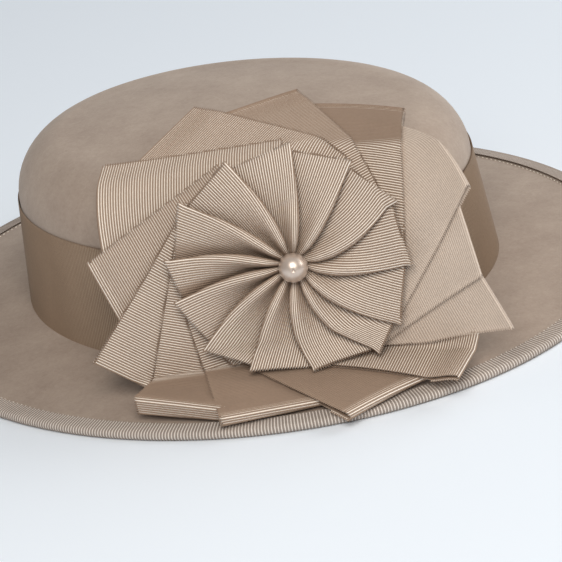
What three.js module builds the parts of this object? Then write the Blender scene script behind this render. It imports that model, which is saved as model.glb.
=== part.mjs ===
// Felt boater hat with a grosgrain band, a bound brim and a ribbon cockade.
// Millimetres. +X is the wearer's front, +Z is up, and the brim's binding rests on z = 0.

import * as THREE from 'three';

// Driving dimensions, head and crown
const FRONT_BACK_RADIUS = 102;      // outside of the band at its foot, along X
const SIDE_RADIUS = 84;             // the same, along Y
const CROWN_FELT = 1.8;
const CROWN_TOP_Z = 79.4;
const CROWN_DOME = 5;               // rise of the tip above the end of the shoulder
const SHOULDER_RADIUS = 24.4;
const WALL_LEAN = 4.1;              // how far the wall leans in from its foot to the shoulder
const CLEARANCE = 0.3;              // between pieces that are sewn on each other

// Driving dimensions, brim
const BRIM_FELT = 1.8;
const BRIM_EDGE_X = 153.9;          // outside of the binding
const BRIM_EDGE_Y = 134.4;
const BRIM_NECK_Z = 6.9;            // upper face of the brim where it meets the crown
const COLLAR_HEIGHT = 10;           // upstand of the brim inside the crown
const BINDING_RIBBON = 0.6;
const BINDING_WIDTH = 7;            // seen from above, and the same below
const REST_RING_WIDTH = 2.5;        // flat strip of the binding that the hat rests on

// Driving dimensions, ribbon
const BAND_WIDTH = 42.8;
const BAND_THICKNESS = 0.5;
const RIBBON_WIDTH = 43;            // the cockade's ribbon
const LOOP_THICKNESS = 1.1;         // a loop is two layers of ribbon
const LOOP_STEP = 1.7;              // height of one loop over the next

// Driving dimensions, place and bend of the cockade
const COCKADE_FACING = 32.5;        // degrees from the wearer's right side towards the front
const COCKADE_Z = 47.3;
const COCKADE_STAND_OFF = 6.6;      // from the band to the loops' surface, at the centre
// The loops' surface: it leans back, bends back over the shoulder above and out over the brim
// below, and its side towards the wearer's front stands off
const LOOPS_SURFACE = {
  tilt: 12,
  upper: { start: 4.6, radius: 53, turn: 78 },
  lower: { start: 30, radius: 14, turn: 75 },
  front: 111,
};
// The rosette's surface is flatter
const ROSETTE_SURFACE = {
  tilt: 13,
  upper: { start: 46, radius: 53, turn: 1 },
  lower: { start: 26, radius: 30, turn: 60 },
  front: 111,
};
const LOOP_OFFSET = 44.5;           // from the centre to a loop's outer selvedge
const LOOP_ROOT = { inner: 13, outer: 2 };     // where a loop starts, at its two selvedges

const ROSETTE_RADIUS = 46;
// Directions of the pleats' folds, in degrees like the loops' turns
const PLEAT_FOLDS = [113, 81, 50, 23, -6, -35, -57, -89, -119, -146, -172, -192, -219];
const ROSETTE_LIFT = 6.3;           // underside of the pleats over the loops' surface
const PLEAT_THICKNESS = 1.1;
const STEM_RADIUS = 10.5;           // gathered ribbon that is sewn to the band
const STEM_CLEARANCE = 0.5;
const PEARL_RADIUS = 5.2;

// The loops of the cockade in their order of lying on each other, each one over the next.
// turn is the direction of the loop, in degrees counterclockwise from the wearer's front side
// as the cockade is looked at, and reach is the length from the centre line to the fold.
// rows and columns are the faces along and across a loop, finer where it bends over the brim.
const LOOPS = [
  { name: 'loop_01', turn: 140.5, reach: 70, rows: 7, columns: 5 },
  { name: 'loop_02', turn: 114.5, reach: 69, rows: 7, columns: 5 },
  { name: 'loop_03', turn: 83, reach: 66.5, rows: 6, columns: 5 },
  { name: 'loop_04', turn: 53, reach: 66, rows: 6, columns: 5 },
  { name: 'loop_05', turn: 31, reach: 61.5, rows: 6, columns: 8 },
  { name: 'loop_06', turn: 13, reach: 73, rows: 7, columns: 9 },
  { name: 'loop_07', turn: -17.5, reach: 72.5, rows: 11, columns: 9 },
  { name: 'loop_08', turn: -49, reach: 71, rows: 11, columns: 8 },
  { name: 'loop_09', turn: -81.5, reach: 69, rows: 11, columns: 5 },
  { name: 'loop_10', turn: -111, reach: 68.5, rows: 11, columns: 5 },
  { name: 'loop_11', turn: -130.5, reach: 70.5, rows: 11, columns: 6 },
  { name: 'loop_12', turn: -154.5, reach: 65, rows: 6, columns: 5 },
  { name: 'loop_13', turn: -185.5, reach: 69.5, rows: 7, columns: 5 },
];

// Steps of the meshes
const AROUND = 64;
const SHOULDER_STEPS = 6;

const rad = THREE.MathUtils.degToRad;

// Materials
const feltMaterial = () => new THREE.MeshStandardMaterial({ color: 0xa8937f, roughness: 0.95, metalness: 0 });
const bandMaterial = () => new THREE.MeshStandardMaterial({ color: 0x8c7358, roughness: 0.75, metalness: 0 });
const ribbonMaterial = () => new THREE.MeshStandardMaterial({ color: 0xc2aa8d, roughness: 0.7, metalness: 0 });
const pearlMaterial = () => new THREE.MeshStandardMaterial({ color: 0xe6cdb8, roughness: 0.2, metalness: 0 });

function named(name, geometry, material) {
  geometry.computeVertexNormals();
  const mesh = new THREE.Mesh(geometry, material);
  mesh.name = name;
  return mesh;
}

function geometryOf(points, triangles) {
  const geometry = new THREE.BufferGeometry();
  geometry.setAttribute('position', new THREE.Float32BufferAttribute(points.flat(), 3));
  geometry.setIndex(triangles.flat());
  return geometry;
}

// A point at an offset from the band's foot. Beyond it the offset grows to the brim's own oval.
const BRIM_WIDTH_X = BRIM_EDGE_X - FRONT_BACK_RADIUS;
const BRIM_WIDTH_Y = BRIM_EDGE_Y - SIDE_RADIUS;

function ovalPoint(angle, offset, z) {
  const sideways = offset > 0 ? offset * BRIM_WIDTH_Y / BRIM_WIDTH_X : offset;
  return [(FRONT_BACK_RADIUS + offset) * Math.cos(angle), (SIDE_RADIUS + sideways) * Math.sin(angle), z];
}

// A closed section of [offset, z] corners, in counterclockwise order, carried round the oval
function ringOf(section) {
  const points = [];
  const triangles = [];
  const corners = section.length;
  for (let i = 0; i < AROUND; i += 1) {
    for (const [offset, z] of section) points.push(ovalPoint(2 * Math.PI * i / AROUND, offset, z));
  }
  for (let i = 0; i < AROUND; i += 1) {
    const next = (i + 1) % AROUND;
    for (let j = 0; j < corners; j += 1) {
      const a = i * corners + j;
      const b = i * corners + (j + 1) % corners;
      const c = next * corners + (j + 1) % corners;
      const d = next * corners + j;
      triangles.push([a, c, b], [a, d, c]);
    }
  }
  return geometryOf(points, triangles);
}

// Crown wall: its outer face at a height
const SHOULDER_Z = CROWN_TOP_Z - CROWN_DOME - SHOULDER_RADIUS;
const LEAN_PER_MM = WALL_LEAN / (SHOULDER_Z - BRIM_NECK_Z);
const CROWN_INSET = BAND_THICKNESS + CLEARANCE;     // felt inside the band

const bandOffset = (z) => -(z - BRIM_NECK_Z) * LEAN_PER_MM;
const crownOffset = (z) => bandOffset(z) - CROWN_INSET;

// Half outline of the crown from its foot to its tip, moved inwards by the given depth
function crownOutline(depth) {
  const foot = BRIM_NECK_Z + CLEARANCE;
  const outline = [[crownOffset(foot) - depth, foot], [crownOffset(SHOULDER_Z) - depth, SHOULDER_Z]];
  const shoulderOffset = crownOffset(SHOULDER_Z) - SHOULDER_RADIUS;
  const radius = SHOULDER_RADIUS - depth;
  for (let i = 1; i <= SHOULDER_STEPS; i += 1) {
    const turn = Math.PI / 2 * i / SHOULDER_STEPS;
    outline.push([shoulderOffset + radius * Math.cos(turn), SHOULDER_Z + radius * Math.sin(turn)]);
  }
  return outline;
}

// The crown is a felt shell: up the outside, over the domed tip, and down the inside
function crownGeometry() {
  const points = [];
  const triangles = [];
  const outside = crownOutline(0);
  const inside = crownOutline(CROWN_FELT);
  const [edgeOffset, edgeZ] = outside[outside.length - 1];
  const tipRings = [0.66, 0.33];

  const addRing = (ringPoint) => {
    const first = points.length;
    for (let i = 0; i < AROUND; i += 1) points.push(ringPoint(2 * Math.PI * i / AROUND));
    return first;
  };
  const sheet = (outline, depth) => {
    const rings = outline.map(([offset, z]) => addRing((angle) => ovalPoint(angle, offset, z)));
    for (const k of tipRings) {
      rings.push(addRing((angle) => {
        const [x, y] = ovalPoint(angle, edgeOffset, 0);
        return [x * k, y * k, edgeZ - depth + CROWN_DOME * (1 - k * k)];
      }));
    }
    points.push([0, 0, edgeZ - depth + CROWN_DOME]);
    return { rings, pole: points.length - 1 };
  };
  const join = (low, high, flip) => {
    for (let i = 0; i < AROUND; i += 1) {
      const next = (i + 1) % AROUND;
      const quad = [[low + i, low + next, high + next], [low + i, high + next, high + i]];
      for (const t of quad) triangles.push(flip ? [t[0], t[2], t[1]] : t);
    }
  };
  const close = ({ rings, pole }, flip) => {
    for (let k = 0; k + 1 < rings.length; k += 1) join(rings[k], rings[k + 1], flip);
    const last = rings[rings.length - 1];
    for (let i = 0; i < AROUND; i += 1) {
      const next = (i + 1) % AROUND;
      triangles.push(flip ? [last + i, pole, last + next] : [last + i, last + next, pole]);
    }
  };
  const outer = sheet(outside, 0);
  const inner = sheet(inside, CROWN_FELT);
  close(outer, false);
  close(inner, true);
  join(inner.rings[0], outer.rings[0], false);
  return geometryOf(points, triangles);
}

// Brim felt: a collar inside the crown, turned out into a brim that falls a little to its edge
const FELT_EDGE = BRIM_WIDTH_X - BINDING_RIBBON - CLEARANCE;
const FELT_EDGE_Z = BINDING_RIBBON + CLEARANCE;     // underside of the felt at its edge
const BRIM_TOP_EDGE_Z = FELT_EDGE_Z + BRIM_FELT;
const brimTop = (offset) => BRIM_NECK_Z + (BRIM_TOP_EDGE_Z - BRIM_NECK_Z) * Math.max(offset, 0) / FELT_EDGE;

function brimGeometry() {
  const collarFace = -(CROWN_INSET + CROWN_FELT + CLEARANCE);
  const collarTop = BRIM_NECK_Z + COLLAR_HEIGHT;
  const lean = bandOffset(collarTop);
  const middle = FELT_EDGE / 2;
  const bendWidth = 3;
  return ringOf([
    [collarFace, BRIM_NECK_Z],
    [collarFace + lean, collarTop],
    [collarFace + lean - BRIM_FELT, collarTop],
    [collarFace - BRIM_FELT, BRIM_NECK_Z],
    [collarFace - BRIM_FELT / 2, BRIM_NECK_Z - BRIM_FELT * 0.7],
    [collarFace + bendWidth, brimTop(0) - BRIM_FELT],
    [middle, brimTop(middle) - BRIM_FELT],
    [FELT_EDGE, FELT_EDGE_Z],
    [FELT_EDGE, BRIM_TOP_EDGE_Z],
    [middle, brimTop(middle)],
    [0, BRIM_NECK_Z],
  ]);
}

// Binding: one ribbon folded round the felt's edge
function bindingGeometry() {
  const topEdge = BRIM_WIDTH_X - BINDING_WIDTH;
  const top = (offset) => brimTop(offset) + CLEARANCE;
  const under = (offset) => brimTop(offset) - BRIM_FELT - CLEARANCE;
  const flatEnd = BRIM_WIDTH_X - REST_RING_WIDTH;
  const round = BINDING_RIBBON;
  return ringOf([
    [topEdge, top(topEdge)],
    [FELT_EDGE, top(FELT_EDGE)],
    [FELT_EDGE + CLEARANCE, top(FELT_EDGE) - CLEARANCE / 2],
    [FELT_EDGE + CLEARANCE, BINDING_RIBBON + CLEARANCE / 2],
    [FELT_EDGE, BINDING_RIBBON],
    [flatEnd, BINDING_RIBBON],
    [topEdge, under(topEdge)],
    [topEdge, under(topEdge) - BINDING_RIBBON],
    [flatEnd, 0],
    [BRIM_WIDTH_X - round, 0],
    [BRIM_WIDTH_X, round],
    [BRIM_WIDTH_X, top(FELT_EDGE)],
    [BRIM_WIDTH_X - round, top(FELT_EDGE) + BINDING_RIBBON],
    [topEdge, top(topEdge) + BINDING_RIBBON],
  ]);
}

// Band: one turn of ribbon flat on the crown's wall
function bandGeometry() {
  const foot = BRIM_NECK_Z + CLEARANCE;
  const head = foot + BAND_WIDTH;
  return ringOf([
    [bandOffset(foot) - BAND_THICKNESS, foot],
    [bandOffset(foot), foot],
    [bandOffset(head), head],
    [bandOffset(head) - BAND_THICKNESS, head],
  ]);
}

// Where the cockade sits: along points to the wearer's front, out away from the crown
const facing = rad(COCKADE_FACING);
const along = new THREE.Vector3(Math.cos(facing), Math.sin(facing), 0);
const out = new THREE.Vector3(Math.sin(facing), -Math.cos(facing), 0);
const up = new THREE.Vector3(0, 0, 1);

function cockadeCentre() {
  const support = Math.hypot(FRONT_BACK_RADIUS * out.x, SIDE_RADIUS * out.y);
  const onWall = new THREE.Vector3(FRONT_BACK_RADIUS ** 2 * out.x, SIDE_RADIUS ** 2 * out.y, 0);
  onWall.divideScalar(support);
  return onWall.addScaledVector(out, COCKADE_STAND_OFF + bandOffset(COCKADE_Z)).setZ(COCKADE_Z);
}
const centre = cockadeCentre();

// A straight line that turns into an arc and runs on straight: place and direction at a length
function bentLine(length, heading, { start, radius, turn }) {
  const arc = Math.min(Math.max(length - start, 0) / radius, rad(turn));
  const before = Math.min(length, start);
  const after = Math.max(length - start - radius * rad(turn), 0);
  const angle = heading + arc;
  return {
    angle,
    forward: before * Math.cos(heading) + radius * (Math.sin(angle) - Math.sin(heading))
      + after * Math.cos(angle),
    aside: before * Math.sin(heading) + radius * (Math.cos(heading) - Math.cos(angle))
      + after * Math.sin(angle),
  };
}

// A point of a surface: s runs along, t runs up, and h stands off it
function onSurface(surface, s, t, h) {
  const bend = t >= 0 ? surface.upper : surface.lower;
  const rise = bentLine(Math.abs(t), rad(surface.tilt), bend);
  const sign = t >= 0 ? 1 : -1;
  const swing = Math.max(s, 0) / surface.front;
  const sAlong = s > 0 ? surface.front * Math.sin(swing) : s;
  const sOut = surface.front * (1 - Math.cos(swing));
  const point = centre.clone()
    .addScaledVector(along, sAlong)
    .addScaledVector(up, sign * rise.forward)
    .addScaledVector(out, sOut - sign * rise.aside);
  const acrossLine = along.clone().multiplyScalar(Math.cos(swing)).addScaledVector(out, Math.sin(swing));
  const upLine = up.clone().multiplyScalar(Math.cos(rise.angle)).addScaledVector(out, -Math.sin(rise.angle));
  return point.addScaledVector(acrossLine.cross(upLine).normalize(), h).toArray();
}

// Number of loops that a direction lies clockwise of the first loop, as a real number
function loopsPassed(angle) {
  const turns = LOOPS.map((loop) => loop.turn);
  turns.push(turns[0] - 360);
  let passed = 0;
  let a = angle;
  while (a > turns[0]) { a += -360; passed -= LOOPS.length; }
  while (a <= turns[LOOPS.length]) { a += 360; passed += LOOPS.length; }
  const k = turns.findIndex((turn, i) => a <= turn && a > turns[i + 1]);
  return passed + k + (turns[k] - a) / (turns[k] - turns[k + 1]);
}

// One flattened loop of ribbon. x runs from its inner selvedge to its outer one, y to its fold.
function loopGeometry(index) {
  const { turn, reach, rows, columns } = LOOPS[index];
  const direction = rad(turn);
  const roundEnd = LOOP_THICKNESS / 2;
  const points = [];
  const addPoint = (x, y, depth) => {
    const s = x * Math.sin(direction) + y * Math.cos(direction);
    const t = -x * Math.cos(direction) + y * Math.sin(direction);
    const bearing = turn - THREE.MathUtils.radToDeg(Math.atan2(x, y));
    const height = LOOP_STEP * (loopsPassed(bearing) - index);
    points.push(onSurface(LOOPS_SURFACE, s, t, height - depth));
    return points.length - 1;
  };
  const sheet = (depth) => {
    const grid = [];
    for (let i = 0; i <= rows; i += 1) {
      const row = [];
      for (let j = 0; j <= columns; j += 1) {
        const across = j / columns;
        const x = LOOP_OFFSET - RIBBON_WIDTH * (1 - across);
        const root = LOOP_ROOT.inner + (LOOP_ROOT.outer - LOOP_ROOT.inner) * across;
        row.push(addPoint(x, root + (reach - roundEnd - root) * i / rows, depth));
      }
      grid.push(row);
    }
    return grid;
  };
  const top = sheet(0);
  const bottom = sheet(LOOP_THICKNESS);
  const fold = top[0].map((_, j) => (
    addPoint(LOOP_OFFSET - RIBBON_WIDTH * (1 - j / columns), reach, roundEnd)));
  top.push(fold);
  bottom.push(fold);
  return geometryOf(points, slabTriangles(top, bottom));
}

// Triangles of a slab between two grids that may share their last row
function slabTriangles(top, bottom) {
  const triangles = [];
  const rows = top.length - 1;
  const columns = top[0].length - 1;
  const quad = (a, b, c, d) => {
    for (const t of [[a, b, c], [a, c, d]]) {
      if (new Set(t).size === 3) triangles.push(t);
    }
  };
  for (let i = 0; i < rows; i += 1) {
    for (let j = 0; j < columns; j += 1) {
      quad(top[i][j], top[i][j + 1], top[i + 1][j + 1], top[i + 1][j]);
      quad(bottom[i][j], bottom[i + 1][j], bottom[i + 1][j + 1], bottom[i][j + 1]);
    }
    quad(top[i][0], top[i + 1][0], bottom[i + 1][0], bottom[i][0]);
    quad(top[i][columns], bottom[i][columns], bottom[i + 1][columns], top[i + 1][columns]);
  }
  for (let j = 0; j < columns; j += 1) {
    quad(top[0][j], bottom[0][j], bottom[0][j + 1], top[0][j + 1]);
  }
  return triangles;
}

// Rosette: knife pleats that rise clockwise and drop to the next one, gathered at the centre.
// across is the place in a pleat, from 0 at its sunk side to 1 at its raised fold. Towards the
// centre the folds bow clockwise by the given share of a pleat.
const PLEAT_PLACES = [
  { across: 0.02, rise: 0 },
  { across: 0.3, rise: 0.35 },
  { across: 0.62, rise: 0.8 },
  { across: 0.86, rise: 1 },
  { across: 0.97, rise: 0.75 },
];
const PLEAT_ROWS = [
  { radius: 5, depth: 0.9, bow: 0.15 },
  { radius: 10, depth: 3.4, bow: 0.3 },
  { radius: 17, depth: 3.6, bow: 0.4 },
  { radius: 27, depth: 2.6, bow: 0.3 },
  { radius: 37, depth: 1.7, bow: 0.12 },
  { radius: ROSETTE_RADIUS, depth: 1.2, bow: 0 },
];

function rosetteGeometry() {
  const points = [];
  const triangles = [];
  const pleats = PLEAT_FOLDS.length;
  const spokes = pleats * PLEAT_PLACES.length;
  const leanGap = Math.tan(rad(ROSETTE_SURFACE.tilt)) - LEAN_PER_MM;
  const wallCurve = (FRONT_BACK_RADIUS * SIDE_RADIUS) ** 2
    / Math.hypot(FRONT_BACK_RADIUS * out.x, SIDE_RADIUS * out.y) ** 3;
  const bandBelow = (s, t) => COCKADE_STAND_OFF - leanGap * t + s * s / (2 * wallCurve) - STEM_CLEARANCE;

  // Along its outer edge a pleat is straight, so its middle is nearer to the centre
  const straightEdge = (across, width) => (
    ROSETTE_RADIUS * Math.cos(width / 2) / Math.cos(width * (across - 0.5)));
  const addRing = (radius, bow, height) => {
    const first = points.length;
    for (let pleat = 0; pleat < pleats; pleat += 1) {
      const before = rad(pleat > 0 ? PLEAT_FOLDS[pleat - 1] : PLEAT_FOLDS[pleats - 1] + 360);
      const width = before - rad(PLEAT_FOLDS[pleat]);
      for (const { across, rise } of PLEAT_PLACES) {
        const angle = before - (across + bow) * width;
        const r = radius < ROSETTE_RADIUS ? radius : straightEdge(across, width);
        const s = r * Math.cos(angle);
        const t = r * Math.sin(angle);
        points.push(onSurface(ROSETTE_SURFACE, s, t, height(rise, s, t)));
      }
    }
    return first;
  };
  const join = (a, b) => {
    for (let i = 0; i < spokes; i += 1) {
      const next = (i + 1) % spokes;
      triangles.push([a + i, b + next, b + i], [a + i, a + next, b + next]);
    }
  };
  const fan = (pole, ring, outward) => {
    for (let i = 0; i < spokes; i += 1) {
      const next = (i + 1) % spokes;
      triangles.push(outward ? [pole, ring + next, ring + i] : [pole, ring + i, ring + next]);
    }
  };
  const crest = ROSETTE_LIFT + PLEAT_THICKNESS;
  const upper = PLEAT_ROWS.map(({ radius, depth, bow }) => (
    addRing(radius, bow, (rise) => crest + depth * rise)));
  const lower = [ROSETTE_RADIUS, 36, 26, 15, STEM_RADIUS].map((radius) => (
    addRing(radius, 0, () => ROSETTE_LIFT)));
  const stem = addRing(STEM_RADIUS, 0, (rise, s, t) => -bandBelow(s, t));
  points.push(onSurface(ROSETTE_SURFACE, 0, 0, crest));
  fan(points.length - 1, upper[0], true);
  points.push(onSurface(ROSETTE_SURFACE, 0, 0, -bandBelow(0, 0)));
  const rings = [...upper, ...lower, stem];
  for (let k = 0; k + 1 < rings.length; k += 1) join(rings[k], rings[k + 1]);
  fan(points.length - 1, stem, false);
  return geometryOf(points, triangles);
}

function pearlMesh() {
  const mesh = named('pearl', new THREE.SphereGeometry(PEARL_RADIUS, 16, 10), pearlMaterial());
  const lift = ROSETTE_LIFT + PLEAT_THICKNESS + CLEARANCE + PEARL_RADIUS;
  mesh.position.fromArray(onSurface(ROSETTE_SURFACE, 0, 0, lift));
  return mesh;
}

const hat = new THREE.Group();
hat.name = 'boater_hat';
hat.add(named('crown', crownGeometry(), feltMaterial()));
hat.add(named('brim', brimGeometry(), feltMaterial()));
hat.add(named('brim_binding', bindingGeometry(), ribbonMaterial()));
hat.add(named('hat_band', bandGeometry(), bandMaterial()));

const cockade = new THREE.Group();
LOOPS.forEach((loop, index) => cockade.add(named(loop.name, loopGeometry(index), ribbonMaterial())));
cockade.add(named('rosette', rosetteGeometry(), ribbonMaterial()));
cockade.add(pearlMesh());
hat.add(cockade);

export default hat;
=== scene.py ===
import math

import bpy
import numpy as np
from mathutils import Matrix, Vector


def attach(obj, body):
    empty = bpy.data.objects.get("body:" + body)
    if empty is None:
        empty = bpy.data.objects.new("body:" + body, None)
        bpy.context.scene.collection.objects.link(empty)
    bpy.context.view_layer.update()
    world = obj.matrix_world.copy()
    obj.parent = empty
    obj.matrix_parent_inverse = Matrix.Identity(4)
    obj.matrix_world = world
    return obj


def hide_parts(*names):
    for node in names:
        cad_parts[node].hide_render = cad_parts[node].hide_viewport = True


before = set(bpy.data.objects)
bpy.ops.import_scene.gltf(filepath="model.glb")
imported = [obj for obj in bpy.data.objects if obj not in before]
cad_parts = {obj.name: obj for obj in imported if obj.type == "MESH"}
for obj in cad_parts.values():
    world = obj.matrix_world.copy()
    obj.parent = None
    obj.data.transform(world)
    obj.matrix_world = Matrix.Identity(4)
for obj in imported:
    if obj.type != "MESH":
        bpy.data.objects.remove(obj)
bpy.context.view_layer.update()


# Crown: wool felt blocked to an oval, with a wall that leans in, a round shoulder and a low dome.
# It is a shell open below for the head, and the brim's collar is sewn inside its foot.
MM = 0.001
FRONT_BACK_RADIUS = 102 * MM     # outside of the band at its foot
SIDE_RADIUS = 84 * MM
BRIM_EDGE_X = 153.9 * MM         # outside of the binding
BRIM_EDGE_Y = 134.4 * MM
NECK_Z = 6.9 * MM                # where the brim meets the crown
CLEARANCE = 0.3 * MM
FELT = 1.8 * MM
BAND_THICKNESS = 0.5 * MM
CROWN_TOP_Z = 79.4 * MM
CROWN_DOME = 5 * MM
SHOULDER_RADIUS = 24.4 * MM
SHOULDER_Z = CROWN_TOP_Z - CROWN_DOME - SHOULDER_RADIUS
WALL_LEAN = 4.1 * MM / (SHOULDER_Z - NECK_Z)      # inwards for each metre up
DOME_TIP = 0.04                  # the last ring of the dome, against the shoulder's
CROWN_INSET = BAND_THICKNESS + CLEARANCE
BRIM_WIDTH_X = BRIM_EDGE_X - FRONT_BACK_RADIUS
BRIM_WIDTH_Y = BRIM_EDGE_Y - SIDE_RADIUS
AROUND = 240
FELT_CREASE = math.radians(70)   # sharper edges than this stay sharp

FELT_DARK = (0.315, 0.240, 0.192, 1)
FELT_LIGHT = (0.420, 0.335, 0.272, 1)


def wall_offset(z):
    return -(z - NECK_Z) * WALL_LEAN


def on_oval(angle, offset, z):
    """Points at an offset from the band's foot; beyond it the oval widens to the brim's own."""
    angle, offset, z = np.broadcast_arrays(angle, offset, z)
    sideways = np.where(offset > 0, offset * BRIM_WIDTH_Y / BRIM_WIDTH_X, offset)
    x = (FRONT_BACK_RADIUS + offset) * np.cos(angle)
    y = (SIDE_RADIUS + sideways) * np.sin(angle)
    return np.stack([x, y, z], -1)


def crown_outline(depth):
    """Offsets and heights from the crown's foot to the end of its shoulder."""
    heights = np.linspace(NECK_Z + CLEARANCE, SHOULDER_Z, 8)
    turns = np.linspace(0, math.pi / 2, 17)[1:]
    shoulder = wall_offset(SHOULDER_Z) - CROWN_INSET - SHOULDER_RADIUS
    radius = SHOULDER_RADIUS - depth
    wall = wall_offset(heights) - CROWN_INSET - depth
    offsets = np.concatenate([wall, shoulder + radius * np.cos(turns)])
    return offsets, np.concatenate([heights, SHOULDER_Z + radius * np.sin(turns)])


def crown_sheet(depth):
    """Rings of points up the wall, round the shoulder and over the dome."""
    angle = np.linspace(0, 2 * math.pi, AROUND, endpoint=False)
    offsets, heights = crown_outline(depth)
    rings = [on_oval(angle, o, z) for o, z in zip(offsets, heights)]
    edge = rings[-1]
    for share in np.linspace(1, DOME_TIP, 14)[1:]:
        ring = edge * [share, share, 1]
        ring[:, 2] += CROWN_DOME * (1 - share * share)
        rings.append(ring)
    return np.array(rings)


def ring_faces(rings, around, first=0):
    """Quads between rings of points that each close on themselves."""
    faces = []
    for k in range(rings - 1):
        for i in range(around):
            a, b = first + k * around, first + (k + 1) * around
            n = (i + 1) % around
            faces.append((a + i, a + n, b + n, b + i))
    return faces


def add_piece(name, points, faces, material):
    mesh = bpy.data.meshes.new(name)
    mesh.from_pydata(np.reshape(points, (-1, 3)).tolist(), [], faces)
    mesh.materials.append(material)
    mesh.shade_smooth()
    piece = bpy.data.objects.new(name, mesh)
    bpy.context.scene.collection.objects.link(piece)
    return piece


def sew_on(piece, slot, *nodes):
    """The finished piece stands for these solids, which are hidden. The slot is not used."""
    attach(piece, "root")
    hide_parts(*nodes)


def add_node(tree, kind, settings):
    node = tree.nodes.new(kind)
    for socket, value in settings.items():
        node.inputs[socket].default_value = value
    return node


def add_noise(tree, settings):
    """Noise that is fixed to the piece, not to the space around it."""
    noise = add_node(tree, "ShaderNodeTexNoise", settings)
    place = tree.nodes.new("ShaderNodeTexCoord")
    tree.links.new(place.outputs["Object"], noise.inputs["Vector"])
    return noise


def add_ramp(tree, low, high, start=0, end=1):
    """A colour ramp from one colour to the other."""
    ramp = tree.nodes.new("ShaderNodeValToRGB")
    for element, place, colour in zip(ramp.color_ramp.elements, (start, end), (low, high)):
        element.position = place
        element.color = colour
    return ramp


def new_material(name, finish):
    """A material with this finish, its tree and its shader."""
    material = bpy.data.materials.new(name)
    material.use_nodes = True
    shader = material.node_tree.nodes["Principled BSDF"]
    for socket, value in finish.items():
        shader.inputs[socket].default_value = value
    return material, material.node_tree, shader


def wool_felt():
    """Soft matted wool: cloudy colour, a fine nap and a faint sheen."""
    felt, tree, shader = new_material("wool felt", {
        "Roughness": 0.95,
        "Specular IOR Level": 0.25,
        "Sheen Weight": 0.22,
        "Sheen Roughness": 0.55,
        "Sheen Tint": (1, 0.94, 0.88, 1),
    })
    link = tree.links.new
    clouds = add_noise(tree, {"Scale": 46, "Detail": 5, "Roughness": 0.68})
    fibres = add_noise(tree, {"Scale": 620, "Detail": 6, "Roughness": 0.72, "Distortion": 0.8})
    mixed = add_node(tree, "ShaderNodeMix", {"Factor": 0.42})
    colours = add_ramp(tree, FELT_DARK, FELT_LIGHT, 0.36, 0.64)
    nap = add_node(tree, "ShaderNodeBump", {"Strength": 0.5, "Distance": 0.25 * MM})
    link(clouds.outputs["Fac"], mixed.inputs["A"])
    link(fibres.outputs["Fac"], mixed.inputs["B"])
    link(mixed.outputs["Result"], colours.inputs["Fac"])
    link(colours.outputs["Color"], shader.inputs["Base Color"])
    link(fibres.outputs["Fac"], nap.inputs["Height"])
    link(nap.outputs["Normal"], shader.inputs["Normal"])
    return felt


felt = wool_felt()
outer, inner = crown_sheet(0), crown_sheet(FELT)
tip = [[0, 0, CROWN_TOP_Z], [0, 0, CROWN_TOP_Z - FELT]]
layer = outer.shape[0] * AROUND
faces = ring_faces(outer.shape[0], AROUND)
faces += [face[::-1] for face in ring_faces(inner.shape[0], AROUND, layer)]
for i in range(AROUND):
    n = (i + 1) % AROUND
    faces.append((layer - AROUND + i, layer - AROUND + n, 2 * layer))
    faces.append((2 * layer - AROUND + n, 2 * layer - AROUND + i, 2 * layer + 1))
    faces.append((layer + i, layer + n, n, i))
crown_points = np.concatenate([outer.reshape(-1, 3), inner.reshape(-1, 3), tip])
crown = add_piece("felt_crown", crown_points, faces, felt)
crown.data.set_sharp_from_angle(angle=FELT_CREASE)
sew_on(crown, "felt", "crown")


# Brim: the same felt, a collar inside the crown that turns out into a flat ring.
# It falls a little from the crown to its edge, which the binding covers.
COLLAR_HEIGHT = 10 * MM
COLLAR_BEND = 3 * MM             # width over which the collar turns into the underside
BEND_END = 0.98                  # of the felt's thickness, where the turn meets the underside
BINDING_RIBBON = 0.6 * MM
FELT_EDGE = BRIM_WIDTH_X - BINDING_RIBBON - CLEARANCE
FELT_EDGE_TOP = BINDING_RIBBON + CLEARANCE + FELT


def brim_top(offset):
    return NECK_Z + (FELT_EDGE_TOP - NECK_Z) * np.maximum(offset, 0) / FELT_EDGE


def brim_section():
    """Corners of the felt's section, from the collar's top down and out, and back over the top."""
    face = -(CROWN_INSET + FELT + CLEARANCE)
    collar_top = NECK_Z + COLLAR_HEIGHT
    lean = wall_offset(collar_top)
    back = face - FELT
    turns = np.linspace(0, math.pi / 2, 6)
    round_out = [back + (COLLAR_BEND + FELT) * (1 - math.cos(a)) for a in turns]
    round_down = [NECK_Z - FELT * BEND_END * math.sin(a) for a in turns]
    inside = list(zip(round_out, round_down))
    under = [(o, brim_top(o) - FELT) for o in np.linspace(COLLAR_BEND, FELT_EDGE, 12)]
    over = [(o, brim_top(o)) for o in np.linspace(FELT_EDGE, 0, 14)]
    collar = [(face + lean, collar_top), (back + lean, collar_top)]
    return [*collar, *inside, *under, *over, (face, NECK_Z)]


angle = np.linspace(0, 2 * math.pi, AROUND, endpoint=False)
section = brim_section()
brim_points = np.array([on_oval(angle, o, z) for o, z in section])
faces = ring_faces(len(section), AROUND)
last = (len(section) - 1) * AROUND
faces += [(last + (i + 1) % AROUND, (i + 1) % AROUND, i, last + i) for i in range(AROUND)]
brim = add_piece("felt_brim", brim_points, faces, felt)
brim.data.set_sharp_from_angle(angle=FELT_CREASE)
sew_on(brim, "felt", "brim")
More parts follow.
